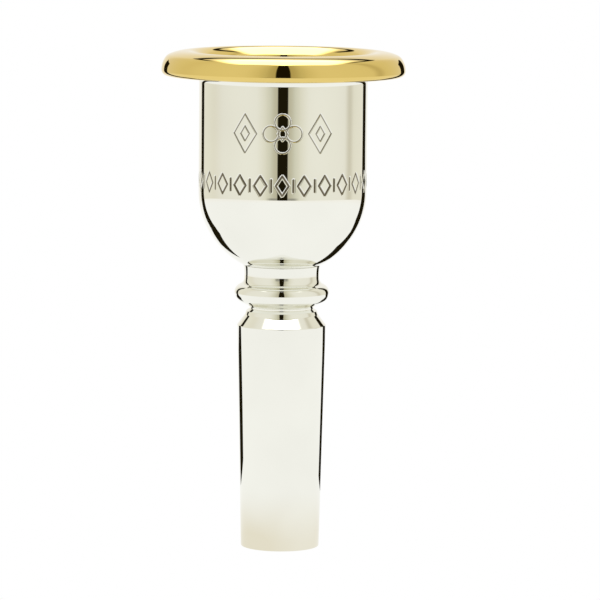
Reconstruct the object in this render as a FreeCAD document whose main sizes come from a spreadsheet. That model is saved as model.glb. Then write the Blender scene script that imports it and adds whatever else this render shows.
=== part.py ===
import FreeCAD, Part
import Sketcher

import math
import os

# Brass mouthpiece for a large-shank trombone, in three screwed pieces:
#   rim    gold-plated, with a threaded skirt that screws into the cup
#   cup    silver-plated bowl, threaded inside at both ends
#   shank  silver-plated neck, bead and taper, with a threaded spigot
#
# Every piece is a solid of revolution about +Z.  The origin is the centre
# of the shank's end face and +Z runs up to the rim, so the lips meet the
# top and the instrument's receiver takes the bottom.  All sizes are in
# millimetres.  Names that end in _r are radii, names that end in _z are
# heights above the shank's end face.

SIZES = {
    # shank: taper that enters the receiver
    "tip_r": 6.35,
    "tip_round": 0.2,
    "taper_top_r": 7.17,
    "taper_top_z": 36.2,
    # shank: bevel, lower neck and the groove under the bead
    "lower_neck_r": 5.9,
    "lower_neck_z": 37.9,
    "lower_neck_top_r": 5.72,
    "lower_neck_top_z": 38.5,
    "groove_r": 5.15,
    "groove_z": 38.9,
    "groove_top_z": 39.2,
    # shank: bead
    "bead_r": 7.65,
    "bead_z": 41.48,
    "bead_under_round": 1.65,
    "bead_shoulder_round": 1.4,
    # shank: upper neck
    "waist_r": 6.05,
    "waist_z": 43.9,
    "neck_z": 44.3,
    "neck_top_r": 6.2,
    "neck_bevel": 0.05,
    # seat between cup and shank
    "seat_r": 6.2,
    "seat_z": 45.95,
    # shank: threaded spigot, given by the outside of its thread
    "spigot_r": 5.0,
    "spigot_relief_r": 4.7,
    "spigot_relief": 0.5,
    "spigot_lead": 0.3,
    "spigot_end_bevel": 0.4,
    "spigot_top_z": 52.7,
    # air way through the shank
    "throat_r": 3.6,
    "throat_z": 47.5,
    "backbore_r": 5.1,
    "backbore_bevel": 0.2,
    # cup: tapped hole for the spigot
    "spigot_hole_r": 5.05,
    "spigot_hole_z": 52.8,
    "hole_bevel": 0.2,
    # cup: outside
    "bowl_r": 13.55,
    "bowl_z": 58.0,
    "flare_z": 75.5,
    "flare_round": 0.9,
    "land_r": 13.95,
    # cup: tapped hole for the rim's skirt
    "rim_seat_z": 76.35,
    "skirt_hole_r": 12.8,
    "skirt_hole_z": 71.35,
    "mouth_bevel": 0.15,
    # cup: inside
    "bowl_inner_r": 10.65,
    "bowl_inner_round": 28.0,
    "throat_round": 5.0,
    "throat_top_z": 54.0,
    # rim: threaded skirt, given by the outside of its thread
    "skirt_r": 12.75,
    "skirt_end_z": 71.5,
    "skirt_end_bevel": 0.35,
    "skirt_relief_r": 12.4,
    "skirt_relief": 0.6,
    "skirt_lead": 0.35,
    # rim: outside
    "rim_r": 19.65,
    "rim_z": 77.45,
    "lip_round": 0.9,
    "rim_side_round": 3.4,
    "rim_shoulder_z": 79.4,
    "rim_shoulder_round": 1.5,
    "crest_r": 15.5,
    "crest_z": 80.5,
    # rim: inside
    "crest_inner_round": 3.0,
    "rim_inner_round": 30.0,
}

AXIS_OF_HEIGHT = -2
AXIS_OF_RADIUS = -1
START = 1
END = 2
CENTRE = 3
ON_AXIS = "axis"


def make_sheet(doc):
    """Spreadsheet of driving sizes, one row for each alias."""
    sheet = doc.addObject("Spreadsheet::Sheet", "Sizes")
    for row, (alias, value) in enumerate(SIZES.items(), start=1):
        sheet.set("A%d" % row, alias)
        sheet.set("B%d" % row, str(value))
        sheet.setAlias("B%d" % row, alias)
    doc.recompute()
    return sheet


def amount(text):
    """Value of a sum or difference of aliases, such as 'tip_r - tip_round'."""
    total = 0.0
    sign = 1.0
    for word in text.split():
        if word in ("+", "-"):
            sign = 1.0 if word == "+" else -1.0
        else:
            total += sign * SIZES[word]
    return total


def formula(text):
    """The same sum or difference as a FreeCAD expression on the sheet."""
    words = [word if word in ("+", "-") else "Sizes." + word for word in text.split()]
    return " ".join(words)


class Corner:
    """A corner of a profile.

    radius and height are sums of aliases, "axis" for zero, or a plain
    number when the neighbouring tangent curves settle that coordinate.
    """

    def __init__(self, radius, height, smooth=False, upright=False, level=False):
        self.radius = radius
        self.height = height
        self.smooth = smooth
        self.upright = upright
        self.level = level

    def place(self):
        values = []
        for size in (self.radius, self.height):
            if isinstance(size, str):
                values.append(0.0 if size == ON_AXIS else amount(size))
            else:
                values.append(size)
        return FreeCAD.Vector(values[0], values[1], 0.0)


class Curve:
    """An arc between two corners.

    turn is +1 when the arc bends left on the way to the next corner and
    -1 when it bends right.  round is the alias of its radius, or None
    when its tangents settle the radius, which is then near guess.
    """

    def __init__(self, turn, round=None, guess=None):
        self.turn = turn
        self.round = round
        self.guess = guess

    def radius(self):
        return self.guess if self.round is None else SIZES[self.round]


def arc_between(first, last, radius, turn):
    """Part arc from first to last, and whether the sketch keeps that order."""
    chord = last.sub(first)
    half = chord.Length / 2.0
    middle = (first + last) * 0.5
    aside = FreeCAD.Vector(-chord.y, chord.x, 0.0).normalize()
    centre = middle + aside * (turn * math.sqrt(max(radius * radius - half * half, 0.0)))
    circle = Part.Circle(centre, FreeCAD.Vector(0, 0, 1), radius)
    angle_first = math.atan2(first.y - centre.y, first.x - centre.x)
    angle_last = math.atan2(last.y - centre.y, last.x - centre.x)
    if turn > 0:
        return Part.ArcOfCircle(circle, angle_first, angle_last), True
    return Part.ArcOfCircle(circle, angle_last, angle_first), False


def origin_plane(body, role):
    """One of the body's own origin planes."""
    for feature in body.Origin.OriginFeatures:
        if feature.Role == role:
            return feature
    raise ValueError("no plane " + role)


def bind(sketch, kind, ends, size):
    """Add one driving dimension and tie it to the sheet."""
    index = sketch.addConstraint(Sketcher.Constraint(kind, *ends, amount(size)))
    sketch.setExpression("Constraints[%d]" % index, formula(size))


def fix_corner(sketch, corner, line, end):
    """Hold a corner at its radius and height."""
    if corner.radius == ON_AXIS:
        sketch.addConstraint(Sketcher.Constraint("PointOnObject", line, end, AXIS_OF_HEIGHT))
    elif isinstance(corner.radius, str):
        bind(sketch, "DistanceX", (-1, 1, line, end), corner.radius)
    if corner.height == ON_AXIS:
        sketch.addConstraint(Sketcher.Constraint("PointOnObject", line, end, AXIS_OF_RADIUS))
    elif isinstance(corner.height, str):
        bind(sketch, "DistanceY", (-1, 1, line, end), corner.height)


def draw_profile(sketch, steps):
    """Draw a closed profile: corners in order, with a Curve between two of
    them where the edge is an arc and nothing where it is straight."""
    corners = [step for step in steps if isinstance(step, Corner)]
    curves = {}
    for position, step in enumerate(steps):
        if isinstance(step, Curve):
            before = sum(isinstance(other, Corner) for other in steps[:position])
            curves[before - 1] = step

    # edges, each with the sketch's names for where it starts and ends
    edges = []
    for number, corner in enumerate(corners):
        first = corner.place()
        last = corners[(number + 1) % len(corners)].place()
        if number in curves:
            curve = curves[number]
            shape, forward = arc_between(first, last, curve.radius(), curve.turn)
            line = sketch.addGeometry(shape, False)
            edges.append((line, START, END) if forward else (line, END, START))
        else:
            line = sketch.addGeometry(Part.LineSegment(first, last), False)
            edges.append((line, START, END))

    # joins between neighbouring edges
    for number, corner in enumerate(corners):
        line, start, _ = edges[number]
        previous, _, end = edges[number - 1]
        join = "Tangent" if corner.smooth else "Coincident"
        sketch.addConstraint(Sketcher.Constraint(join, previous, end, line, start))

    # arcs: radius, and the direction in which they leave or reach a corner
    for number, curve in curves.items():
        line, start, end = edges[number]
        if curve.round is not None:
            bind(sketch, "Radius", (line,), curve.round)
        ends = ((corners[number], start), (corners[(number + 1) % len(corners)], end))
        for corner, side in ends:
            if corner.upright:
                sketch.addConstraint(
                    Sketcher.Constraint("Horizontal", line, CENTRE, line, side))
            if corner.level:
                sketch.addConstraint(
                    Sketcher.Constraint("Vertical", line, CENTRE, line, side))

    for number, corner in enumerate(corners):
        line, start, _ = edges[number]
        fix_corner(sketch, corner, line, start)


def make_body(doc, label):
    """An empty body with its own name and place."""
    body = doc.addObject("PartDesign::Body", label.capitalize())
    body.Label = label
    body.Placement = FreeCAD.Placement()
    return body


def revolve(doc, body, name, steps, cut=False):
    """Turn a profile about the body's Z axis, to add metal or to cut it."""
    sketch = body.newObject("Sketcher::SketchObject", name + "Profile")
    sketch.AttachmentSupport = [(origin_plane(body, "XZ_Plane"), "")]
    sketch.MapMode = "FlatFace"
    doc.recompute()
    draw_profile(sketch, steps)
    doc.recompute()
    kind = "PartDesign::Groove" if cut else "PartDesign::Revolution"
    feature = body.newObject(kind, name)
    feature.Profile = sketch
    feature.ReferenceAxis = (sketch, ["V_Axis"])
    feature.Angle = 360.0
    before = body.Shape.Volume if cut else 0.0
    body.Tip = feature
    doc.recompute()
    after = body.Shape.Volume
    if cut and not after < before:
        raise RuntimeError(name + " cuts nothing")
    print("%-16s free %d  volume %9.2f mm3" % (name, sketch.solve(), after))
    return feature


def shank_outside():
    """Outside of the shank, from its end face up to the spigot's top."""
    return [
        Corner(ON_AXIS, ON_AXIS),
        Corner("tip_r - tip_round", ON_AXIS),
        Curve(+1, "tip_round"),
        Corner("tip_r", "tip_round"),
        Corner("taper_top_r", "taper_top_z"),
        Corner("lower_neck_r", "lower_neck_z"),
        Corner("lower_neck_top_r", "lower_neck_top_z"),
        Corner("groove_r", "groove_z"),
        Corner("groove_r", "groove_top_z"),
        Corner(6.75, 40.01, smooth=True),
        Curve(+1, "bead_under_round"),
        Corner("bead_r", "bead_z", upright=True),
        Curve(+1, "bead_shoulder_round"),
        Corner(6.8, 42.77, smooth=True),
        Curve(-1, None, guess=1.23),
        Corner("waist_r", "waist_z", upright=True),
        Corner("waist_r", "neck_z", upright=True),
        Curve(-1, None, guess=8.6),
        Corner("neck_top_r", "seat_z - neck_bevel"),
        Corner("neck_top_r - neck_bevel", "seat_z"),
        Corner("spigot_relief_r", "seat_z"),
        Corner("spigot_relief_r", "seat_z + spigot_relief"),
        Corner("spigot_r", "seat_z + spigot_relief + spigot_lead"),
        Corner("spigot_r", "spigot_top_z - spigot_end_bevel"),
        Corner("spigot_r - spigot_end_bevel", "spigot_top_z"),
        Corner(ON_AXIS, "spigot_top_z"),
    ]


def shank_air_way():
    """Throat and backbore, which opens towards the shank's end face."""
    return [
        Corner(ON_AXIS, ON_AXIS),
        Corner("backbore_r + backbore_bevel", ON_AXIS),
        Corner("backbore_r", "backbore_bevel"),
        Corner("throat_r", "throat_z"),
        Corner("throat_r", "spigot_top_z"),
        Corner(ON_AXIS, "spigot_top_z"),
    ]


def cup_outside():
    """Half-round bowl under a plain barrel, with a small flare at the rim."""
    return [
        Corner(ON_AXIS, "seat_z"),
        Corner("seat_r", "seat_z"),
        Curve(+1, None, guess=13.55),
        Corner("bowl_r", "bowl_z", upright=True),
        Corner("bowl_r", "flare_z", smooth=True),
        Curve(-1, "flare_round"),
        Corner("land_r", 76.25),
        Corner("land_r", "rim_seat_z"),
        Corner(ON_AXIS, "rim_seat_z"),
    ]


def cup_inside():
    """Tapped mouth, inside of the bowl, throat and tapped hole in the base."""
    return [
        Corner(ON_AXIS, "seat_z"),
        Corner("spigot_hole_r + hole_bevel", "seat_z"),
        Corner("spigot_hole_r", "seat_z + hole_bevel"),
        Corner("spigot_hole_r", "spigot_hole_z"),
        Corner("throat_r", "spigot_hole_z"),
        Corner("throat_r", "throat_top_z", upright=True),
        Curve(-1, "throat_round"),
        Corner(4.70, 57.12, smooth=True),
        Curve(+1, "bowl_inner_round"),
        Corner("bowl_inner_r", "skirt_hole_z"),
        Corner("skirt_hole_r", "skirt_hole_z"),
        Corner("skirt_hole_r", "rim_seat_z - mouth_bevel"),
        Corner("skirt_hole_r + mouth_bevel", "rim_seat_z"),
        Corner(ON_AXIS, "rim_seat_z"),
    ]


def rim_section():
    """Section of the rim: cushion above the seat, threaded skirt below it."""
    return [
        Corner("skirt_relief_r", "rim_seat_z"),
        Corner("land_r", "rim_seat_z"),
        Corner(18.79, 76.55, smooth=True),
        Curve(+1, "lip_round"),
        Corner("rim_r", "rim_z", upright=True),
        Curve(+1, "rim_side_round"),
        Corner(19.03, "rim_shoulder_z", smooth=True),
        Curve(+1, "rim_shoulder_round"),
        Corner(18.38, 79.93, smooth=True),
        Curve(+1, None, guess=7.51),
        Corner("crest_r", "crest_z", level=True),
        Curve(+1, "crest_inner_round"),
        Corner(12.75, 78.69, smooth=True),
        Curve(+1, "rim_inner_round"),
        Corner("bowl_inner_r", "skirt_end_z"),
        Corner("skirt_r - skirt_end_bevel", "skirt_end_z"),
        Corner("skirt_r", "skirt_end_z + skirt_end_bevel"),
        Corner("skirt_r", "rim_seat_z - skirt_relief - skirt_lead"),
        Corner("skirt_relief_r", "rim_seat_z - skirt_relief"),
    ]


def check(doc, bodies):
    """Stop before anything is written if any feature or solid is not sound."""
    for item in doc.Objects:
        if "Invalid" in item.State or "Error" in item.State:
            raise RuntimeError("%s is %s" % (item.Name, item.State))
    for body in bodies:
        shape = body.Shape
        if shape.isNull() or not shape.isValid() or len(shape.Solids) != 1:
            raise RuntimeError(body.Label + " is not one valid solid")


def main():
    os.makedirs("parts", exist_ok=True)
    doc = FreeCAD.newDocument("Mouthpiece")
    make_sheet(doc)

    shank = make_body(doc, "shank")
    revolve(doc, shank, "ShankOutside", shank_outside())
    revolve(doc, shank, "AirWay", shank_air_way(), cut=True)

    cup = make_body(doc, "cup")
    revolve(doc, cup, "CupOutside", cup_outside())
    revolve(doc, cup, "CupInside", cup_inside(), cut=True)

    rim = make_body(doc, "rim")
    revolve(doc, rim, "RimSection", rim_section())

    doc.recompute()
    bodies = [rim, cup, shank]
    check(doc, bodies)
    for body in bodies:
        box = body.Shape.optimalBoundingBox()
        print("%-6s radius %7.3f  z %7.3f to %7.3f" % (body.Label, box.XMax, box.ZMin, box.ZMax))
        body.Shape.exportStep(os.path.join("parts", body.Label + ".step"))


main()
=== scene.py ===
import math

import bmesh
import bpy
import numpy as np
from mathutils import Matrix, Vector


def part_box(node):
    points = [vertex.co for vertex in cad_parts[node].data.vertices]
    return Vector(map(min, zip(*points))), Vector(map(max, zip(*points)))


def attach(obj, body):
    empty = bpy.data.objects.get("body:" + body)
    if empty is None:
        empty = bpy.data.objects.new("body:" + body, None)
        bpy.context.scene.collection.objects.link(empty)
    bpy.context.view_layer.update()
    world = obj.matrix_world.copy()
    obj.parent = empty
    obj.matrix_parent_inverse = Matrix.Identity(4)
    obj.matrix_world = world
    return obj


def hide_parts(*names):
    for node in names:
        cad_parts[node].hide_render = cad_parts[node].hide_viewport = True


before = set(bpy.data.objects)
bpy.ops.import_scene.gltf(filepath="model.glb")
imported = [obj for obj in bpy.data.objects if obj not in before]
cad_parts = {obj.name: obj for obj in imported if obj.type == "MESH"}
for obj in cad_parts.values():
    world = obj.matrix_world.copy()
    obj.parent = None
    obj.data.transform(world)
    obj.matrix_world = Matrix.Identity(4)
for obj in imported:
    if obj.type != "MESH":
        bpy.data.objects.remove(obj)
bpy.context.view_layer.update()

# Looks of a brass mouthpiece for a large-shank trombone, in three screwed
# pieces: a gold-plated rim, a silver-plated cup and a silver-plated shank.
# Every piece is turned about +Z.  Sizes below are in millimetres; names
# that end in _R are radii and names that end in _Z are heights above the
# shank's end face.  MM turns them into Blender's metres.

MM = 0.001

rim_low, rim_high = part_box("rim")
cup_low, cup_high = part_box("cup")
shank_low, shank_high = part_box("shank")

# shank: taper, lower neck and the groove under the bead
END_Z = shank_low.z / MM
TIP_R = 6.35
TIP_ROUND = 0.2
TAPER_TOP_R = 7.17
TAPER_TOP_Z = END_Z + 36.2
LOWER_NECK_R = 5.9
LOWER_NECK_Z = END_Z + 37.9
LOWER_NECK_TOP_R = 5.72
LOWER_NECK_TOP_Z = END_Z + 38.5
GROOVE_R = 5.15
GROOVE_Z = END_Z + 38.9
GROOVE_TOP_Z = END_Z + 39.2
# shank: bead and upper neck
BEAD_R = shank_high.x / MM
BEAD_Z = END_Z + 41.48
BEAD_UNDER_ROUND = 1.65
BEAD_SHOULDER_ROUND = 1.4
WAIST_R = 6.05
WAIST_Z = END_Z + 43.9
NECK_Z = END_Z + 44.3
NECK_TOP_R = 6.2
NECK_BEVEL = 0.05
# shank: threaded spigot and air way
SEAT_Z = cup_low.z / MM
SPIGOT_R = 5.0
SPIGOT_RELIEF_R = 4.7
SPIGOT_RELIEF = 0.5
SPIGOT_LEAD = 0.3
SPIGOT_END_BEVEL = 0.4
SPIGOT_TOP_Z = shank_high.z / MM
THROAT_R = 3.6
THROAT_Z = END_Z + 47.5
BACKBORE_R = 5.1
BACKBORE_BEVEL = 0.2
# cup
CUP_SEAT_R = 6.2
SPIGOT_HOLE_R = 5.05
SPIGOT_HOLE_Z = SPIGOT_TOP_Z + 0.1
HOLE_BEVEL = 0.2
BOWL_R = 13.55
BOWL_Z = SEAT_Z + 12.05
LAND_R = cup_high.x / MM
RIM_SEAT_Z = cup_high.z / MM
FLARE_Z = RIM_SEAT_Z - 0.85
FLARE_ROUND = 0.9
SKIRT_HOLE_R = 12.8
SKIRT_HOLE_Z = RIM_SEAT_Z - 5.0
MOUTH_BEVEL = 0.15
BOWL_INNER_R = 10.65
BOWL_INNER_ROUND = 28.0
THROAT_ROUND = 5.0
THROAT_TOP_Z = SEAT_Z + 8.05
# rim
SKIRT_R = 12.75
SKIRT_END_Z = rim_low.z / MM
SKIRT_END_BEVEL = 0.35
SKIRT_RELIEF_R = 12.4
SKIRT_RELIEF = 0.6
SKIRT_LEAD = 0.35
RIM_R = rim_high.x / MM
CREST_R = 15.5
CREST_Z = rim_high.z / MM
RIM_Z = CREST_Z - 3.05
LIP_ROUND = 0.9
RIM_SIDE_ROUND = 3.4
RIM_SHOULDER_Z = CREST_Z - 1.1
RIM_SHOULDER_ROUND = 1.5
CREST_INNER_ROUND = 3.0
RIM_INNER_ROUND = 30.0

# mesh fineness: columns round the axis, and rows along an arc
COLUMNS = 192
ARC_STEP = math.radians(3.0)
ARC_LEAST_STEPS = 3
# corners sharper than SHARP get a small round: EDGE is taken off each side,
# but no more than EDGE_SHARE of a short side, and rows stand at EDGE_ROWS
SHARP = math.radians(1.5)
EDGE = 0.07
EDGE_SHARE = 1.0 / 3.0
EDGE_ROWS = (0.25, 0.5, 0.75)
TINY = 1e-6
# step to each side over which the slope of a relief is measured
NUDGE = 0.004

# screw threads, cut into the walls that the CAD gives; they run out over
# THREAD_FADE at each end
THREAD_PITCH = 0.75
THREAD_DEPTH = 0.26
THREAD_FADE = 0.5
THREAD_ROWS_PER_TURN = 8

# engraving: half width and depth of a stroke
FIGURE_STROKE = (0.18, 0.12)
BORDER_STROKE = (0.27, 0.19)
# three ornaments on the front; a lozenge has a half width and a half height
FIGURE_Z = END_Z + 68.15
FIGURE_HALF = 3.1
FIGURE_SPACING = 6.2
FIGURE_LOBE_R = 1.25
FIGURE_HEART = (0.8, 1.1)
FIGURE_LOZENGE = (2.0, FIGURE_HALF)
FIGURE_INNER_LOZENGE = (0.75, 1.2)
# their columns are FRONT_STEP apart up to FRONT_ANGLE on each side of the
# front, and BACK_COLUMNS go round the rest
FIGURE_ROWS = 76
FRONT_STEP = 0.083
FRONT_ANGLE = math.radians(38.0)
BACK_COLUMNS = 110
# band of lozenges and bars right round the barrel
BORDER_Z = END_Z + 59.88
BORDER_HALF = 1.85
BORDER_REPEATS = 24
BORDER_LOZENGE_HALF_WIDTH = 1.05
BORDER_BAR_SHARE = 0.62
BORDER_ROWS = 34
BORDER_COLUMNS = 756


# ---------------------------------------------------------------- outlines

def uniform_angles(count):
    """Columns spread evenly round the axis."""
    return -math.pi + 2.0 * math.pi * np.arange(count) / count


def front_angles(half_front, front_step, back_count):
    """Columns that are close together at the front (-Y) and wide apart behind."""
    middle = -math.pi / 2.0
    front = np.arange(middle - half_front, middle + half_front, front_step)
    back = np.linspace(front[-1], front[0] + 2.0 * math.pi, back_count + 1)[1:-1]
    every = np.concatenate([front, back])
    return np.sort((every + math.pi) % (2.0 * math.pi) - math.pi)


class Row:
    """One turn of a surface: a point of the outline carried round the axis."""

    def __init__(self, point, normal, angles, relief=None, turned=0.0):
        self.point = np.array(point, float)
        self.normal = np.array(normal, float)
        self.angles = angles
        self.relief = relief
        self.turned = turned


class Outline:
    """Closed outline in the plane of radius and height.

    It is walked with the metal on its left, so the outward side is on its
    right.  turned is 1 where the wall keeps its lathe finish and 0 where
    it is polished and plated bright.
    """

    def __init__(self, radius, height):
        self.pen = np.array([radius, height], float)
        self.stretches = []

    def line(self, radius, height, turned=0.0, relief=None, rows=1, angles=None):
        """Straight stretch to a corner, in several rows where it has relief."""
        end = np.array([radius, height], float)
        along = (end - self.pen) / np.hypot(*(end - self.pen))
        normal = (along[1], -along[0])
        if angles is None:
            angles = uniform_angles(COLUMNS)
        steps = np.linspace(0.0, 1.0, rows + 1)
        points = [self.pen + (end - self.pen) * step for step in steps]
        self.stretches.append([Row(p, normal, angles, relief, turned) for p in points])
        self.pen = end

    def arc(self, end, radius, turn):
        """Round stretch to a corner; it bends left with turn +1, right with -1."""
        end = np.array(end, float)
        chord = end - self.pen
        half = np.hypot(*chord) / 2.0
        aside = np.array([-chord[1], chord[0]]) / (2.0 * half)
        reach = math.sqrt(max(radius**2 - half**2, 0.0))
        centre = (self.pen + end) / 2.0 + aside * turn * reach
        first = math.atan2(*(self.pen - centre)[::-1])
        sweep = turn * 2.0 * math.asin(min(half / radius, 1.0))
        count = max(ARC_LEAST_STEPS, math.ceil(abs(sweep) / ARC_STEP))
        rows = []
        for angle in first + sweep * np.linspace(0.0, 1.0, count + 1):
            spoke = np.array([math.cos(angle), math.sin(angle)])
            rows.append(Row(centre + radius * spoke, turn * spoke, uniform_angles(COLUMNS)))
        self.stretches.append(rows)
        self.pen = end

    def thread(self, height):
        """Upright wall with a screw thread: on the way up it is the outside of
        a screw, and on the way down the inside of a tapped hole."""
        radius, start = self.pen
        low, high = min(start, height), max(start, height)
        rows = round((high - low) / THREAD_PITCH * THREAD_ROWS_PER_TURN)
        self.line(radius, height, turned=1.0, relief=screw_thread(low, high), rows=rows)

    def rows(self):
        """All rows, with a small round on every sharp corner."""
        count = len(self.stretches)
        sharp = []
        for number in range(count):
            before = self.stretches[number - 1][-1]
            after = self.stretches[number][0]
            sharp.append(before.normal @ after.normal < math.cos(SHARP))
        trimmed = []
        for number, rows in enumerate(self.stretches):
            start = EDGE if sharp[number] else 0.0
            stop = EDGE if sharp[(number + 1) % count] else 0.0
            trimmed.append(trim(rows, start, stop))
        every = []
        for number, rows in enumerate(trimmed):
            if sharp[number]:
                corner = self.stretches[number][0].point
                every.extend(eased(trimmed[number - 1][-1], corner, rows[0]))
                every.extend(rows)
            else:
                every.extend(rows[1:])
        return every


def trim(rows, start, stop):
    """The rows of a stretch with a short length taken off each end."""
    points = np.array([row.point for row in rows])
    reach = np.concatenate([[0.0], np.cumsum(np.hypot(*np.diff(points, axis=0).T))])
    most = reach[-1] * EDGE_SHARE
    low = min(start, most)
    high = reach[-1] - min(stop, most)
    kept = [row for row, at in zip(rows, reach) if low + TINY < at < high - TINY]
    ends = []
    for at in (low, high):
        after = min(max(int(np.searchsorted(reach, at)), 1), len(rows) - 1)
        share = (at - reach[after - 1]) / (reach[after] - reach[after - 1])
        first, last = rows[after - 1], rows[after]
        normal = first.normal * (1.0 - share) + last.normal * share
        point = first.point * (1.0 - share) + last.point * share
        ends.append(Row(point, normal / np.hypot(*normal), first.angles, None, first.turned))
    return [ends[0]] + kept + [ends[1]]


def eased(before, corner, after):
    """Rows of a small round between two stretches that meet at a corner."""
    rows = []
    for share in EDGE_ROWS:
        first = before.point * (1.0 - share) + corner * share
        last = corner * (1.0 - share) + after.point * share
        along = (corner - before.point) * (1.0 - share) + (after.point - corner) * share
        along = along / np.hypot(*along)
        point = first * (1.0 - share) + last * share
        turned = max(before.turned, after.turned)
        rows.append(Row(point, (along[1], -along[0]), after.angles, None, turned))
    return rows


def upright_round(first, last):
    """Radius of the arc between two corners that is upright at one of them."""
    return (first[0] - last[0]) / 2.0 + (first[1] - last[1]) ** 2 / (2.0 * (first[0] - last[0]))


def tangent_touch(start, centre, radius):
    """Where a straight line from start touches a circle, keeping it on the left."""
    start, centre = np.array(start), np.array(centre)
    away = np.hypot(*(centre - start))
    angle = math.atan2(*(centre - start)[::-1]) - math.asin(radius / away)
    return start + math.sqrt(away**2 - radius**2) * np.array([math.cos(angle), math.sin(angle)])


def crossing(first, first_round, second, second_round):
    """Where two circles cross on the left of the way between their centres."""
    across = second - first
    gap = np.hypot(*across)
    along = (first_round**2 - second_round**2 + gap**2) / (2.0 * gap)
    aside = math.sqrt(first_round**2 - along**2)
    unit = across / gap
    return first + unit * along + aside * np.array([-unit[1], unit[0]])


# ----------------------------------------------------------------- reliefs

def smooth(share):
    """0 to 1 with level ends."""
    share = np.clip(share, 0.0, 1.0)
    return share * share * (3.0 - 2.0 * share)


def screw_thread(low, high):
    """Screw thread cut into an upright wall, running out at both ends."""
    def relief(angles, height):
        turns = height / THREAD_PITCH - angles / (2.0 * math.pi)
        cut = 0.5 - 0.5 * np.cos(2.0 * math.pi * turns)
        ends = smooth((height - low) / THREAD_FADE) * smooth((high - height) / THREAD_FADE)
        return -THREAD_DEPTH * cut * ends
    return relief


def groove(distance, stroke):
    """Depth of an engraved stroke at some distance from its middle line."""
    half_width, depth = stroke
    share = np.clip(distance / half_width, 0.0, 1.0)
    return -depth * (0.5 + 0.5 * np.cos(math.pi * share))


def to_stroke(across, up, first, last):
    """Distance to a straight stroke."""
    run = (last[0] - first[0], last[1] - first[1])
    share = (across - first[0]) * run[0] + (up - first[1]) * run[1]
    share = np.clip(share / (run[0] ** 2 + run[1] ** 2), 0.0, 1.0)
    return np.hypot(across - first[0] - share * run[0], up - first[1] - share * run[1])


def to_lozenge(across, up, half_width, half_height):
    """Distance to the sides of an upright lozenge."""
    return to_stroke(np.abs(across), np.abs(up), (half_width, 0.0), (0.0, half_height))


def to_quatrefoil(across, up, lobe, offset):
    """Distance to the outline of four round lobes about a middle."""
    across, up = np.abs(across), np.abs(up)
    aside = np.hypot(across - offset, up) - lobe
    above = np.hypot(across, up - offset) - lobe
    return np.abs(np.minimum(aside, above))


def figures(angles, height):
    """Three plain ornaments on the front of the barrel."""
    across = (angles + math.pi / 2.0) * BOWL_R
    up = height - FIGURE_Z
    middle = to_quatrefoil(across, up, FIGURE_LOBE_R, FIGURE_HALF - FIGURE_LOBE_R)
    middle = np.minimum(middle, to_lozenge(across, up, *FIGURE_HEART))
    beside = np.abs(across) - FIGURE_SPACING
    lozenge = to_lozenge(beside, up, *FIGURE_LOZENGE)
    lozenge = np.minimum(lozenge, to_lozenge(beside, up, *FIGURE_INNER_LOZENGE))
    return groove(np.minimum(middle, lozenge), FIGURE_STROKE)


def border(angles, height):
    """Lozenges and bars in a band right round the barrel."""
    repeat = 2.0 * math.pi * BOWL_R / BORDER_REPEATS
    across = (angles + math.pi / 2.0) * BOWL_R
    across = (across + repeat / 2.0) % repeat - repeat / 2.0
    up = height - BORDER_Z
    reach = BORDER_HALF - BORDER_STROKE[0]
    lozenge = to_lozenge(across, up, BORDER_LOZENGE_HALF_WIDTH, reach)
    bar_end = (repeat / 2.0, reach * BORDER_BAR_SHARE)
    bar = to_stroke(np.abs(across), np.abs(up), (repeat / 2.0, 0.0), bar_end)
    return groove(np.minimum(lozenge, bar), BORDER_STROKE)


# ------------------------------------------------------------------ meshes

def slope(relief, angles, height, turn, rise):
    """Slope of a relief along a small turn or a small rise of length NUDGE."""
    ahead = relief(angles + turn, height + rise)
    return (ahead - relief(angles - turn, height - rise)) / (2.0 * NUDGE)


def turned_mesh(name, rows):
    """Closed mesh from rows carried round the axis, with exact normals."""
    points, normals, recess, finish, starts = [], [], [], [], []
    total = 0
    for row in rows:
        angles = row.angles
        radius, height = row.point
        lift = np.zeros(len(angles))
        slope_round = np.zeros(len(angles))
        slope_up = np.zeros(len(angles))
        if row.relief is not None:
            lift = row.relief(angles, height)
            slope_round = slope(row.relief, angles, height, NUDGE / radius, 0.0)
            slope_up = slope(row.relief, angles, height, 0.0, NUDGE)
        radial, upward = row.normal
        far = radius + lift * radial
        points.append(np.column_stack([
            far * np.cos(angles), far * np.sin(angles), height + lift * upward]) * MM)
        normal = np.column_stack([
            radial * np.cos(angles) + slope_round * np.sin(angles),
            radial * np.sin(angles) - slope_round * np.cos(angles),
            upward - slope_up])
        normals.append(normal / np.linalg.norm(normal, axis=1)[:, None])
        recess.append(-lift)
        finish.append(np.full(len(angles), row.turned))
        starts.append(total)
        total += len(angles)
    faces = []
    for number in range(len(rows)):
        other = (number + 1) % len(rows)
        ring, next_ring = rows[number].angles, rows[other].angles
        faces.extend(strip(starts[number], ring, starts[other], next_ring))
    mesh = bpy.data.meshes.new(name)
    mesh.from_pydata(np.concatenate(points).tolist(), [], faces)
    mesh.shade_smooth()
    mesh.normals_split_custom_set_from_vertices(np.concatenate(normals).tolist())
    for label, values in (("recess", recess), ("turned", finish)):
        attribute = mesh.attributes.new(label, "FLOAT", "POINT")
        attribute.data.foreach_set("value", np.concatenate(values).astype(np.float32))
    mesh.validate()
    return mesh


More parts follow.
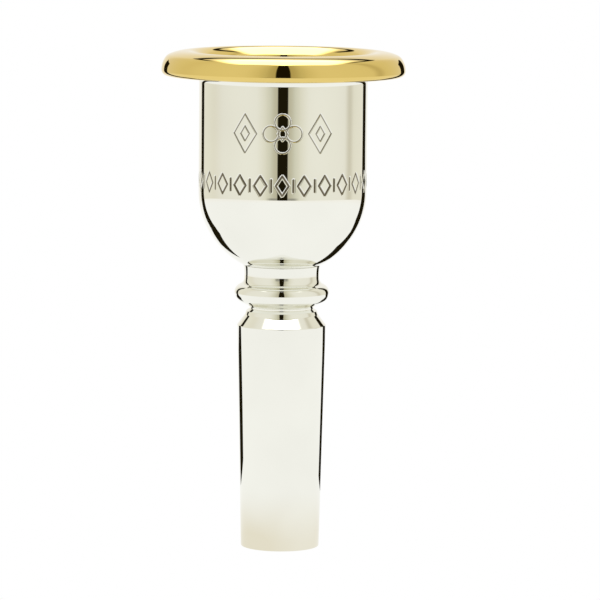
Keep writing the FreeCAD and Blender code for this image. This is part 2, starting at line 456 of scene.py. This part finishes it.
def strip(first_start, first_angles, last_start, last_angles):
    """Faces between two rings, which may have different numbers of columns."""
    first_count, last_count = len(first_angles), len(last_angles)
    if first_count == last_count and np.allclose(first_angles, last_angles):
        return [
            (first_start + j, first_start + (j + 1) % first_count,
             last_start + (j + 1) % first_count, last_start + j)
            for j in range(first_count)]
    first_ends = np.append(first_angles, first_angles[0] + 2.0 * math.pi)
    last_ends = np.append(last_angles, last_angles[0] + 2.0 * math.pi)
    faces = []
    i = j = 0
    while i < first_count or j < last_count:
        here = first_start + i % first_count
        there = last_start + j % last_count
        if j == last_count or (i < first_count and first_ends[i + 1] <= last_ends[j + 1]):
            faces.append((here, first_start + (i + 1) % first_count, there))
            i += 1
        else:
            faces.append((here, last_start + (j + 1) % last_count, there))
            j += 1
    return faces


def shank_rows():
    """Taper, neck, bead and spigot outside; throat and backbore inside."""
    bead = (BEAD_R, BEAD_Z)
    waist = (WAIST_R, WAIST_Z)
    neck_top = (NECK_TOP_R, SEAT_Z - NECK_BEVEL)

    # a straight flank runs from the groove to the round under the bead
    under_centre = (BEAD_R - BEAD_UNDER_ROUND, BEAD_Z)
    bead_foot = tangent_touch((GROOVE_R, GROOVE_TOP_Z), under_centre, BEAD_UNDER_ROUND)

    # the bead's shoulder and the waist's hollow are two arcs that touch
    shoulder_centre = np.array([BEAD_R - BEAD_SHOULDER_ROUND, BEAD_Z])
    run = WAIST_R - shoulder_centre[0]
    rise = WAIST_Z - BEAD_Z
    spare = run**2 + rise**2 - BEAD_SHOULDER_ROUND**2
    hollow_round = spare / (2.0 * (BEAD_SHOULDER_ROUND - run))
    hollow_centre = np.array([WAIST_R + hollow_round, WAIST_Z])
    share = BEAD_SHOULDER_ROUND / (BEAD_SHOULDER_ROUND + hollow_round)
    touch = shoulder_centre + (hollow_centre - shoulder_centre) * share

    thread_low = SEAT_Z + SPIGOT_RELIEF + SPIGOT_LEAD
    thread_high = SPIGOT_TOP_Z - SPIGOT_END_BEVEL
    outline = Outline(BACKBORE_R + BACKBORE_BEVEL, END_Z)
    outline.line(TIP_R - TIP_ROUND, END_Z)
    outline.arc((TIP_R, END_Z + TIP_ROUND), TIP_ROUND, +1)
    outline.line(TAPER_TOP_R, TAPER_TOP_Z)
    outline.line(LOWER_NECK_R, LOWER_NECK_Z)
    outline.line(LOWER_NECK_TOP_R, LOWER_NECK_TOP_Z)
    outline.line(GROOVE_R, GROOVE_Z)
    outline.line(GROOVE_R, GROOVE_TOP_Z)
    outline.line(*bead_foot)
    outline.arc(bead, BEAD_UNDER_ROUND, +1)
    outline.arc(touch, BEAD_SHOULDER_ROUND, +1)
    outline.arc(waist, hollow_round, -1)
    outline.line(WAIST_R, NECK_Z)
    outline.arc(neck_top, upright_round(neck_top, (WAIST_R, NECK_Z)), -1)
    outline.line(NECK_TOP_R - NECK_BEVEL, SEAT_Z)
    outline.line(SPIGOT_RELIEF_R, SEAT_Z, turned=1.0)
    outline.line(SPIGOT_RELIEF_R, SEAT_Z + SPIGOT_RELIEF, turned=1.0)
    outline.line(SPIGOT_R, thread_low, turned=1.0)
    outline.thread(thread_high)
    outline.line(SPIGOT_R - SPIGOT_END_BEVEL, SPIGOT_TOP_Z, turned=1.0)
    outline.line(THROAT_R, SPIGOT_TOP_Z, turned=1.0)
    outline.line(THROAT_R, THROAT_Z, turned=1.0)
    outline.line(BACKBORE_R, END_Z + BACKBORE_BEVEL, turned=1.0)
    outline.line(BACKBORE_R + BACKBORE_BEVEL, END_Z)
    return outline.rows()


def cup_rows():
    """Bowl, barrel and flare outside; tapped holes, bowl and throat inside."""
    seat = (CUP_SEAT_R, SEAT_Z)
    bowl = (BOWL_R, BOWL_Z)
    flare_rise = math.sqrt(FLARE_ROUND**2 - (BOWL_R + FLARE_ROUND - LAND_R) ** 2)

    # inside the bowl, the throat's round and the bowl's round touch
    throat_centre = np.array([THROAT_R + THROAT_ROUND, THROAT_TOP_Z])
    bowl_top = np.array([BOWL_INNER_R, SKIRT_HOLE_Z])
    reach = THROAT_ROUND + BOWL_INNER_ROUND
    bowl_centre = crossing(throat_centre, reach, bowl_top, BOWL_INNER_ROUND)
    touch = throat_centre + (bowl_centre - throat_centre) * THROAT_ROUND / reach

    border_low, border_high = BORDER_Z - BORDER_HALF, BORDER_Z + BORDER_HALF
    figure_half = FIGURE_HALF + FIGURE_STROKE[0]
    figure_low, figure_high = FIGURE_Z - figure_half, FIGURE_Z + figure_half
    around = uniform_angles(BORDER_COLUMNS)
    front = front_angles(FRONT_ANGLE, FRONT_STEP / BOWL_R, BACK_COLUMNS)

    outline = Outline(SPIGOT_HOLE_R + HOLE_BEVEL, SEAT_Z)
    outline.line(*seat, turned=1.0)
    outline.arc(bowl, upright_round(bowl, seat), +1)
    outline.line(BOWL_R, border_low)
    outline.line(BOWL_R, border_high, relief=border, rows=BORDER_ROWS, angles=around)
    outline.line(BOWL_R, figure_low)
    outline.line(BOWL_R, figure_high, relief=figures, rows=FIGURE_ROWS, angles=front)
    outline.line(BOWL_R, FLARE_Z)
    outline.arc((LAND_R, FLARE_Z + flare_rise), FLARE_ROUND, -1)
    outline.line(LAND_R, RIM_SEAT_Z)
    outline.line(SKIRT_HOLE_R + MOUTH_BEVEL, RIM_SEAT_Z, turned=1.0)
    outline.line(SKIRT_HOLE_R, RIM_SEAT_Z - MOUTH_BEVEL, turned=1.0)
    outline.thread(SKIRT_HOLE_Z)
    outline.line(BOWL_INNER_R, SKIRT_HOLE_Z, turned=1.0)
    outline.arc(touch, BOWL_INNER_ROUND, -1)
    outline.arc((THROAT_R, THROAT_TOP_Z), THROAT_ROUND, +1)
    outline.line(THROAT_R, SPIGOT_HOLE_Z)
    outline.line(SPIGOT_HOLE_R, SPIGOT_HOLE_Z, turned=1.0)
    outline.thread(SEAT_Z + HOLE_BEVEL)
    outline.line(SPIGOT_HOLE_R + HOLE_BEVEL, SEAT_Z, turned=1.0)
    return outline.rows()


def rim_rows():
    """Cushion of the rim above its seat, and the threaded skirt below."""
    land = np.array([LAND_R, RIM_SEAT_Z])
    lip = tangent_touch(land, (RIM_R - LIP_ROUND, RIM_Z), LIP_ROUND)

    # the side's round, the shoulder's round and the crest's round touch
    side_centre = np.array([RIM_R - RIM_SIDE_ROUND, RIM_Z])
    side_rise = RIM_SHOULDER_Z - RIM_Z
    spoke = np.array([math.sqrt(RIM_SIDE_ROUND**2 - side_rise**2), side_rise]) / RIM_SIDE_ROUND
    side_touch = side_centre + RIM_SIDE_ROUND * spoke
    shoulder_centre = side_touch - RIM_SHOULDER_ROUND * spoke
    crest = np.array([CREST_R, CREST_Z])
    run, rise = shoulder_centre - crest
    crest_round = (RIM_SHOULDER_ROUND**2 - run**2 - rise**2) / (2.0 * (rise + RIM_SHOULDER_ROUND))
    crest_centre = crest - np.array([0.0, crest_round])
    share = crest_round / (crest_round - RIM_SHOULDER_ROUND)
    crest_touch = crest_centre + (shoulder_centre - crest_centre) * share

    # on the inner side, the crest's inner round and the wall's round touch
    skirt_end = np.array([BOWL_INNER_R, SKIRT_END_Z])
    inner_centre = crest - np.array([0.0, CREST_INNER_ROUND])
    gap = RIM_INNER_ROUND - CREST_INNER_ROUND
    wall_centre = crossing(inner_centre, gap, skirt_end, RIM_INNER_ROUND)
    inner_touch = inner_centre + (inner_centre - wall_centre) * CREST_INNER_ROUND / gap

    thread_low = SKIRT_END_Z + SKIRT_END_BEVEL
    thread_high = RIM_SEAT_Z - SKIRT_RELIEF - SKIRT_LEAD
    outline = Outline(SKIRT_RELIEF_R, RIM_SEAT_Z)
    outline.line(*land, turned=1.0)
    outline.line(*lip)
    outline.arc((RIM_R, RIM_Z), LIP_ROUND, +1)
    outline.arc(side_touch, RIM_SIDE_ROUND, +1)
    outline.arc(crest_touch, RIM_SHOULDER_ROUND, +1)
    outline.arc(crest, crest_round, +1)
    outline.arc(inner_touch, CREST_INNER_ROUND, +1)
    outline.arc(skirt_end, RIM_INNER_ROUND, +1)
    outline.line(SKIRT_R - SKIRT_END_BEVEL, SKIRT_END_Z, turned=1.0)
    outline.line(SKIRT_R, thread_low, turned=1.0)
    outline.thread(thread_high)
    outline.line(SKIRT_RELIEF_R, RIM_SEAT_Z - SKIRT_RELIEF, turned=1.0)
    outline.line(SKIRT_RELIEF_R, RIM_SEAT_Z, turned=1.0)
    return outline.rows()


# --------------------------------------------------------------- materials

# colours of the plating, and a dark colour that is tarnish in the plating's tone and painted shade in
# the engraved strokes
GOLD = (0.80, 0.61, 0.20, 1.0)
GOLD_TARNISH_AND_SHADE = (0.30, 0.17, 0.04, 1.0)
SILVER = (0.887, 0.887, 0.823, 1.0)
SILVER_TARNISH_AND_SHADE = (0.12, 0.092, 0.045, 1.0)
# painted reflected shade: the shank's end is painted darker and yellower up to this height, in uneven
# patches
TIP_PAINTED_SHADE = (0.765, 0.722, 0.580, 1.0)
TIP_PAINTED_SHADE_Z = END_Z + 10.5
TIP_PAINTED_SHADE_EVEN = 0.7
TIP_PAINTED_SHADE_PATCHY = 0.5
# the patterns of each metal are turned about the axis by this angle times its
# seed, in degrees; a noise's scale is for millimetres, and each mask is a pair
# of the values where it starts and is full
SEED_TURN = 37.0
HAIRLINE_TURNS = ((12, 20, 8), (-18, 6, -31))
HAIRLINE_STRETCH = (9.0, 9.0, 0.22)
HAIRLINE_MASK = (0.66, 0.76)
SMUDGE_SCALE = 0.16
SMUDGE_MASK = (0.42, 0.72)
BLOOM_SCALE = 0.07
BLOOM_MASK = (0.35, 0.7)
GRAIN_SCALE = 7.0
TOOL_MARK_SCALE = 14.0
RECESS_MASK = (0.01, 0.14)
# how much of the dark colour each of these shows: tarnish for the tone changes and the lathe finish,
# painted shade in the engraved strokes
TARNISH_BLOOM = 0.04
TARNISH_TURNED = 0.25
RECESS_PAINTED_SHADE = 0.92
# roughness of clean plating, and what each of these adds to it
ROUGH_CLEAN = 0.012
ROUGH_SMUDGE = 0.010
ROUGH_HAIRLINE = 0.022
ROUGH_GRAIN = 0.006
ROUGH_RECESS = 0.16
ROUGH_TURNED = 0.17
# heights of the bump, in shares of BUMP_DISTANCE
HAIRLINE_HEIGHT = -0.04
TOOL_MARK_TURNED = 1.0
TOOL_MARK_POLISHED = 0.02
BUMP_STRENGTH = 0.035
BUMP_DISTANCE = 0.02


class Graph:
    """Short calls that add shader nodes and give back their outputs."""

    def __init__(self, tree):
        self.tree = tree
        tree.nodes.clear()

    def node(self, kind, **settings):
        made = self.tree.nodes.new(kind)
        for name, value in settings.items():
            setattr(made, name, value)
        return made

    def feed(self, socket, value):
        if isinstance(value, bpy.types.NodeSocket):
            self.tree.links.new(value, socket)
        else:
            socket.default_value = value

    def math(self, operation, *values, clamp=False):
        made = self.node("ShaderNodeMath", operation=operation, use_clamp=clamp)
        for socket, value in zip(made.inputs, values):
            self.feed(socket, value)
        return made.outputs["Value"]

    def fade(self, value, start, end):
        """0 before start, 1 after end and a smooth change in between."""
        made = self.node("ShaderNodeMapRange", interpolation_type="SMOOTHSTEP")
        self.feed(made.inputs["Value"], value)
        made.inputs["From Min"].default_value = start
        made.inputs["From Max"].default_value = end
        return made.outputs["Result"]

    def mix(self, share, first, second):
        made = self.node("ShaderNodeMix", data_type="RGBA")
        for number, value in ((0, share), (6, first), (7, second)):
            self.feed(made.inputs[number], value)
        return made.outputs[2]

    def noise(self, place, scale, detail=2.0, roughness=0.5):
        made = self.node("ShaderNodeTexNoise")
        self.feed(made.inputs["Vector"], place)
        made.inputs["Scale"].default_value = scale
        made.inputs["Detail"].default_value = detail
        made.inputs["Roughness"].default_value = roughness
        return made.outputs["Fac"]

    def stretched(self, place, turn, scale):
        """Coordinates turned and then scaled unevenly."""
        made = self.node("ShaderNodeMapping")
        self.feed(made.inputs["Vector"], place)
        made.inputs["Rotation"].default_value = [math.radians(angle) for angle in turn]
        made.inputs["Scale"].default_value = scale
        return made.outputs["Vector"]

    def attribute(self, name):
        return self.node("ShaderNodeAttribute", attribute_name=name).outputs["Fac"]


def plated_metal(name, bright, tarnish_and_shade, seed):
    """Polished plating: hairlines, wiped smudges, painted shade in the strokes,
    a painted reflected shade at the shank's end, and a duller lathe finish on
    the walls that stay hidden inside the joints."""
    material = bpy.data.materials.new(name)
    material.use_nodes = True
    graph = Graph(material.node_tree)
    coordinates = graph.node("ShaderNodeTexCoord")
    millimetres = graph.node("ShaderNodeVectorMath", operation="SCALE")
    graph.feed(millimetres.inputs[0], coordinates.outputs["Object"])
    millimetres.inputs["Scale"].default_value = 1.0 / MM
    place = graph.stretched(millimetres.outputs["Vector"], (0, 0, SEED_TURN * seed), (1, 1, 1))
    split = graph.node("ShaderNodeSeparateXYZ")
    graph.feed(split.inputs["Vector"], millimetres.outputs["Vector"])

    recess = graph.fade(graph.attribute("recess"), *RECESS_MASK)
    turned = graph.attribute("turned")

    # hairline scratches in two directions
    hairlines = 0.0
    for turn in HAIRLINE_TURNS:
        drawn = graph.noise(graph.stretched(place, turn, HAIRLINE_STRETCH), 1.0, detail=1.0)
        hairlines = graph.math("ADD", hairlines, graph.fade(drawn, *HAIRLINE_MASK))
    # smudges left by a cloth, and slow changes in the colour of the plating
    smudge = graph.noise(place, SMUDGE_SCALE, detail=3.0, roughness=0.6)
    smudge = graph.fade(smudge, *SMUDGE_MASK)
    bloom = graph.fade(graph.noise(place, BLOOM_SCALE), *BLOOM_MASK)
    grain = graph.noise(place, GRAIN_SCALE)
    # painted reflected shade: the end near the floor is painted darker and yellower, in place of the
    # floor's shade that it reflects
    painted_shade_patches = graph.math("MULTIPLY_ADD", bloom, TIP_PAINTED_SHADE_PATCHY, TIP_PAINTED_SHADE_EVEN)
    tip_painted_shade = graph.fade(split.outputs["Z"], TIP_PAINTED_SHADE_Z, END_Z)
    tip_painted_shade = graph.math("MULTIPLY", tip_painted_shade, painted_shade_patches, clamp=True)

    # circular tool marks, from the distance to the axis and the height
    squares = [graph.math("MULTIPLY", split.outputs[axis], split.outputs[axis]) for axis in ("X", "Y")]
    radius = graph.math("SQRT", graph.math("ADD", *squares))
    along = graph.node("ShaderNodeCombineXYZ")
    graph.feed(along.inputs["X"], radius)
    graph.feed(along.inputs["Y"], split.outputs["Z"])
    tool_marks = graph.noise(along.outputs["Vector"], TOOL_MARK_SCALE)

    colour = graph.mix(graph.math("MULTIPLY", bloom, TARNISH_BLOOM), bright, tarnish_and_shade)
    # painted reflected shade on the shank's end
    colour = graph.mix(tip_painted_shade, colour, TIP_PAINTED_SHADE)
    colour = graph.mix(graph.math("MULTIPLY", turned, TARNISH_TURNED), colour, tarnish_and_shade)
    # painted shade: the engraved strokes are darkened by their depth
    colour = graph.mix(graph.math("MULTIPLY", recess, RECESS_PAINTED_SHADE), colour, tarnish_and_shade)

    rough = graph.math("MULTIPLY_ADD", smudge, ROUGH_SMUDGE, ROUGH_CLEAN)
    rough = graph.math("MULTIPLY_ADD", hairlines, ROUGH_HAIRLINE, rough)
    rough = graph.math("MULTIPLY_ADD", grain, ROUGH_GRAIN, rough)
    rough = graph.math("MULTIPLY_ADD", recess, ROUGH_RECESS, rough)
    rough = graph.math("MULTIPLY_ADD", turned, ROUGH_TURNED, rough, clamp=True)

    marking = graph.math("MULTIPLY_ADD", turned, TOOL_MARK_TURNED, TOOL_MARK_POLISHED)
    height = graph.math("MULTIPLY", hairlines, HAIRLINE_HEIGHT)
    height = graph.math("MULTIPLY_ADD", tool_marks, marking, height)
    bump = graph.node("ShaderNodeBump")
    graph.feed(bump.inputs["Height"], height)
    bump.inputs["Strength"].default_value = BUMP_STRENGTH
    bump.inputs["Distance"].default_value = BUMP_DISTANCE * MM

    shader = graph.node("ShaderNodeBsdfPrincipled")
    shader.inputs["Metallic"].default_value = 1.0
    graph.feed(shader.inputs["Base Color"], colour)
    graph.feed(shader.inputs["Roughness"], rough)
    graph.feed(shader.inputs["Normal"], bump.outputs["Normal"])
    output = graph.node("ShaderNodeOutputMaterial")
    graph.feed(output.inputs["Surface"], shader.outputs["BSDF"])
    return material


def add_piece(name, rows, material):
    """A finished piece that stands for the CAD node and body of its name."""
    piece = bpy.data.objects.new(name + "_metal", turned_mesh(name + "_metal", rows))
    bpy.context.scene.collection.objects.link(piece)
    piece.data.materials.append(material)
    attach(piece, name)
    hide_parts(name)


# ------------------------------------------------------------------ studio

# lengths are in millimetres and angles in degrees; a fade is a pair of the
# values where it starts and is full
WHITE = (1.0, 1.0, 1.0, 1.0)
DARK_ROOM = (0.012, 0.009, 0.003, 1.0)

# floor, which turns a little duller towards its edge
FLOOR_RADIUS = 390.0
FLOOR_FADE_RADIUS = 250.0
FLOOR_SEGMENTS = 128
FLOOR_DROP = 0.02
FLOOR_NEAR = (1.0, 1.0, 0.99, 1.0)
FLOOR_FAR = (0.99, 0.97, 0.93, 1.0)

# black cards behind the object: corners across and up
CARD_AWAY = 53.0
CARD_LEFT = (
    (-76, 0), (-33, 0), (-33, 24), (-45, 29), (-43, 38), (-46.5, 53), (-46.5, 93),
    (-64.5, 93), (-64.5, 53), (-66, 36), (-70, 24), (-76, 10),
)
CARD_RIGHT = (
    (52, 0), (19, 0), (19, 26), (29, 30), (36, 53), (38, 60), (38, 93),
    (58, 93), (58.5, 60), (60, 46), (61, 30), (52, 22),
)

# walls of the tent: angle round from the lens, and colour
TENT = (
    (10.0, (0.56, 0.53, 0.40, 1.0)),
    (16.0, (0.67, 0.655, 0.53, 1.0)),
    (23.0, (0.78, 0.76, 0.64, 1.0)),
    (36.0, (0.885, 0.87, 0.785, 1.0)),
    (74.0, (0.885, 0.87, 0.785, 1.0)),
    (92.0, (0.865, 0.845, 0.76, 1.0)),
    (107.0, (0.83, 0.80, 0.69, 1.0)),
    (122.0, (0.85, 0.825, 0.71, 1.0)),
    (155.0, (0.87, 0.83, 0.73, 1.0)),
)
# what hangs on the walls: a fold, the backdrop, the table's edge and a gap
FOLD = (0.52, 0.48, 0.36, 1.0)
FOLD_AZIMUTH = 104.0
FOLD_HALF = 11.0
FOLD_SHARE = 0.5
BACKDROP = (0.95, 0.93, 0.88, 1.0)
BACKDROP_AZIMUTH = (150.0, 160.0)
TABLE_EDGE = (0.33, 0.32, 0.27, 1.0)
TABLE_EDGE_AZIMUTH = (24.0, 14.0)
TABLE_EDGE_ELEVATION = (-5.0, -6.5)
GAP_AZIMUTH = (7.8, 6.2)
GAP_ELEVATION = (89.0, 88.0)

# the ceiling is laid out on a plane one unit above the object, in distances
# sideways and backward; directions lower than CEILING_UP miss it
LOWEST_UP = 0.05
CEILING_UP = 0.1
SOFTBOX = (3.4, 3.4, 3.5, 1.0)
BOX_FRONT = (-0.54, -0.46)
BOX_GABLE = -0.40
BOX_BACK = (1.32, 1.12)
BOX_SIDE = (0.76, 0.50)
BOX_TAPER = 0.31
BOX_FALL = 1.5
SEAM_HALF_WIDTH = 0.58
SEAM_REACH = 1.70
SEAM_POWER = 3.0
SEAM_WIDTH = (0.38, 0.16)
SEAM_START = (0.1, 0.4)
SEAM_LATE_ON_THE_LEFT = -0.3


def build_world():
    """Ivory light tent with an overhead softbox and a dark gap for the lens."""
    world = bpy.data.worlds.new("studio")
    bpy.context.scene.world = world
    world.use_nodes = True
    graph = Graph(world.node_tree)
    split = graph.node("ShaderNodeSeparateXYZ")
    graph.feed(split.inputs["Vector"], graph.node("ShaderNodeTexCoord").outputs["Generated"])
    right, away, up = (split.outputs[axis] for axis in ("X", "Y", "Z"))
    turn = graph.math("ARCTAN2", right, graph.math("MULTIPLY", away, -1.0))
    azimuth = graph.math("DEGREES", graph.math("ABSOLUTE", turn))
    elevation = graph.math("DEGREES", graph.math("ARCSINE", up))

    # tent walls: a ramp from the side of the lens round to the back
    ramp = graph.node("ShaderNodeValToRGB")
    ramp.color_ramp.interpolation = "CARDINAL"
    graph.feed(ramp.inputs["Fac"], graph.math("DIVIDE", azimuth, 180.0))
    stops = ramp.color_ramp.elements
    while len(stops) < len(TENT):
        stops.new(0.5)
    for stop, (degrees, colour) in zip(stops, TENT):
        stop.position = degrees / 180.0
        stop.color = colour
    colour = ramp.outputs["Color"]

    # one side of the tent hangs in a fold, so it is duller there
    off_fold = graph.math("SUBTRACT", graph.math("DEGREES", turn), FOLD_AZIMUTH)
    fold = graph.fade(graph.math("ABSOLUTE", off_fold), FOLD_HALF, 0.0)
    fold = graph.math("MULTIPLY", fold, FOLD_SHARE)
    colour = graph.mix(fold, colour, FOLD)

    # backdrop straight behind
    behind = graph.fade(azimuth, *BACKDROP_AZIMUTH)
    colour = graph.mix(behind, colour, BACKDROP)

    # far edge of the table, low down towards the lens
    edge = graph.fade(azimuth, *TABLE_EDGE_AZIMUTH)
    edge = graph.math("MULTIPLY", edge, graph.fade(elevation, *TABLE_EDGE_ELEVATION))
    colour = graph.mix(edge, colour, TABLE_EDGE)

    # places on the ceiling
    high = graph.math("MAXIMUM", up, LOWEST_UP)
    sideways = graph.math("ABSOLUTE", graph.math("DIVIDE", right, high))
    backward = graph.math("DIVIDE", away, high)
    ceiling = graph.math("GREATER_THAN", up, CEILING_UP)
    behind_object = graph.math("MAXIMUM", backward, 0.0)

    # arched dark seam where the backdrop is hung from the tent
    wide = graph.math("POWER", graph.math("DIVIDE", sideways, SEAM_HALF_WIDTH), SEAM_POWER)
    deep = graph.math("POWER", graph.math("DIVIDE", behind_object, SEAM_REACH), SEAM_POWER)
    off_seam = graph.math("SUBTRACT", graph.math("ADD", wide, deep), 1.0)
    seam = graph.fade(graph.math("ABSOLUTE", off_seam), *SEAM_WIDTH)
    on_the_left = graph.math("LESS_THAN", right, 0.0)
    start = graph.math("MULTIPLY_ADD", on_the_left, SEAM_LATE_ON_THE_LEFT, backward)
    seam = graph.math("MULTIPLY", seam, graph.fade(start, *SEAM_START))
    colour = graph.mix(graph.math("MULTIPLY", seam, ceiling), colour, DARK_ROOM)

    # dark gap for the lens, from the floor up to the softbox
    gap = graph.fade(azimuth, *GAP_AZIMUTH)
    gap = graph.math("MULTIPLY", gap, graph.fade(elevation, *GAP_ELEVATION))
    colour = graph.mix(gap, colour, DARK_ROOM)

    # softbox overhead: narrower towards the back, with a pointed front
    spread = graph.math("MULTIPLY_ADD", behind_object, BOX_TAPER, sideways)
    gable = graph.math("MULTIPLY_ADD", sideways, BOX_GABLE, backward)
    box = graph.math("POWER", graph.fade(spread, *BOX_SIDE), BOX_FALL)
    box = graph.math("MULTIPLY", box, graph.fade(gable, *BOX_FRONT))
    box = graph.math("MULTIPLY", box, graph.fade(backward, *BOX_BACK))
    colour = graph.mix(graph.math("MULTIPLY", box, ceiling), colour, SOFTBOX)

    # the backdrop that the camera itself sees is plain white
    seen = graph.node("ShaderNodeLightPath").outputs["Is Camera Ray"]
    colour = graph.mix(seen, colour, WHITE)
    background = graph.node("ShaderNodeBackground")
    graph.feed(background.inputs["Color"], colour)
    output = graph.node("ShaderNodeOutputWorld")
    graph.feed(output.inputs["Surface"], background.outputs["Background"])


def glowing(name, colour):
    """Material that gives off an even light, with its graph and end nodes."""
    material = bpy.data.materials.new(name)
    material.use_nodes = True
    graph = Graph(material.node_tree)
    emission = graph.node("ShaderNodeEmission")
    graph.feed(emission.inputs["Color"], colour)
    output = graph.node("ShaderNodeOutputMaterial")
    graph.feed(output.inputs["Surface"], emission.outputs["Emission"])
    return material, graph, emission, output


def build_floor():
    """Round pale floor, a little duller towards its edge."""
    material, graph, emission, output = glowing("floor_white", WHITE)

    # the camera sees it plain white, and it hides nothing from below
    place = graph.node("ShaderNodeTexCoord").outputs["Object"]
    distance = graph.node("ShaderNodeVectorMath", operation="LENGTH")
    graph.feed(distance.inputs[0], place)
    millimetres = graph.math("DIVIDE", distance.outputs["Value"], MM)
    far = graph.fade(millimetres, FLOOR_FADE_RADIUS, FLOOR_RADIUS)
    colour = graph.mix(far, FLOOR_NEAR, FLOOR_FAR)
    seen = graph.node("ShaderNodeLightPath").outputs["Is Camera Ray"]
    graph.feed(emission.inputs["Color"], graph.mix(seen, colour, WHITE))
    clear = graph.node("ShaderNodeBsdfTransparent")
    sides = graph.node("ShaderNodeMixShader")
    graph.feed(sides.inputs[0], graph.node("ShaderNodeNewGeometry").outputs["Backfacing"])
    graph.feed(sides.inputs[1], emission.outputs["Emission"])
    graph.feed(sides.inputs[2], clear.outputs["BSDF"])
    graph.feed(output.inputs["Surface"], sides.outputs["Shader"])

    mesh = bpy.data.meshes.new("floor")
    shape = bmesh.new()
    radius = FLOOR_RADIUS * MM
    bmesh.ops.create_circle(shape, cap_ends=True, radius=radius, segments=FLOOR_SEGMENTS)
    shape.to_mesh(mesh)
    shape.free()
    floor = bpy.data.objects.new("floor", mesh)
    floor.location.z = shank_low.z - FLOOR_DROP * MM
    mesh.materials.append(material)
    bpy.context.scene.collection.objects.link(floor)


def build_cards():
    """Two black cards behind, which draw the dark edge lines and stay unseen."""
    material = glowing("card_black", DARK_ROOM)[0]
    for name, outline in (("card_left", CARD_LEFT), ("card_right", CARD_RIGHT)):
        mesh = bpy.data.meshes.new(name)
        shape = bmesh.new()
        places = [(across * MM, CARD_AWAY * MM, up * MM) for across, up in outline]
        shape.faces.new([shape.verts.new(place) for place in places])
        shape.to_mesh(mesh)
        shape.free()
        card = bpy.data.objects.new(name, mesh)
        card.visible_camera = False
        mesh.materials.append(material)
        bpy.context.scene.collection.objects.link(card)


# camera; clipping is in metres
CAMERA_AWAY = 680.0
CAMERA_HEIGHT = 119.5
CAMERA_ASIDE = 2.97
CAMERA_PITCH = 6.65
CAMERA_ROLL = 0.5
CAMERA_LENS = 253.68
SENSOR_WIDTH = 36.0
CLIP_START = 0.01
CLIP_END = 10.0


def build_camera():
    """Long lens, slightly above the rim and looking down at the bead."""
    data = bpy.data.cameras.new("camera")
    data.sensor_width = SENSOR_WIDTH
    data.lens = CAMERA_LENS
    data.clip_start = CLIP_START
    data.clip_end = CLIP_END
    camera = bpy.data.objects.new("camera", data)
    camera.location = (CAMERA_ASIDE * MM, -CAMERA_AWAY * MM, CAMERA_HEIGHT * MM)
    camera.rotation_mode = "ZXY"
    pitch, roll = math.radians(90.0 - CAMERA_PITCH), math.radians(CAMERA_ROLL)
    camera.rotation_euler = (pitch, 0.0, roll)
    bpy.context.scene.collection.objects.link(camera)
    bpy.context.scene.camera = camera


gold = plated_metal("gold_plate", GOLD, GOLD_TARNISH_AND_SHADE, 1)
silver = plated_metal("silver_plate", SILVER, SILVER_TARNISH_AND_SHADE, 2)

add_piece("rim", rim_rows(), gold)
add_piece("cup", cup_rows(), silver)
add_piece("shank", shank_rows(), silver)

build_world()
build_floor()
build_cards()
build_camera()
bpy.context.scene.view_settings.view_transform = "Standard"
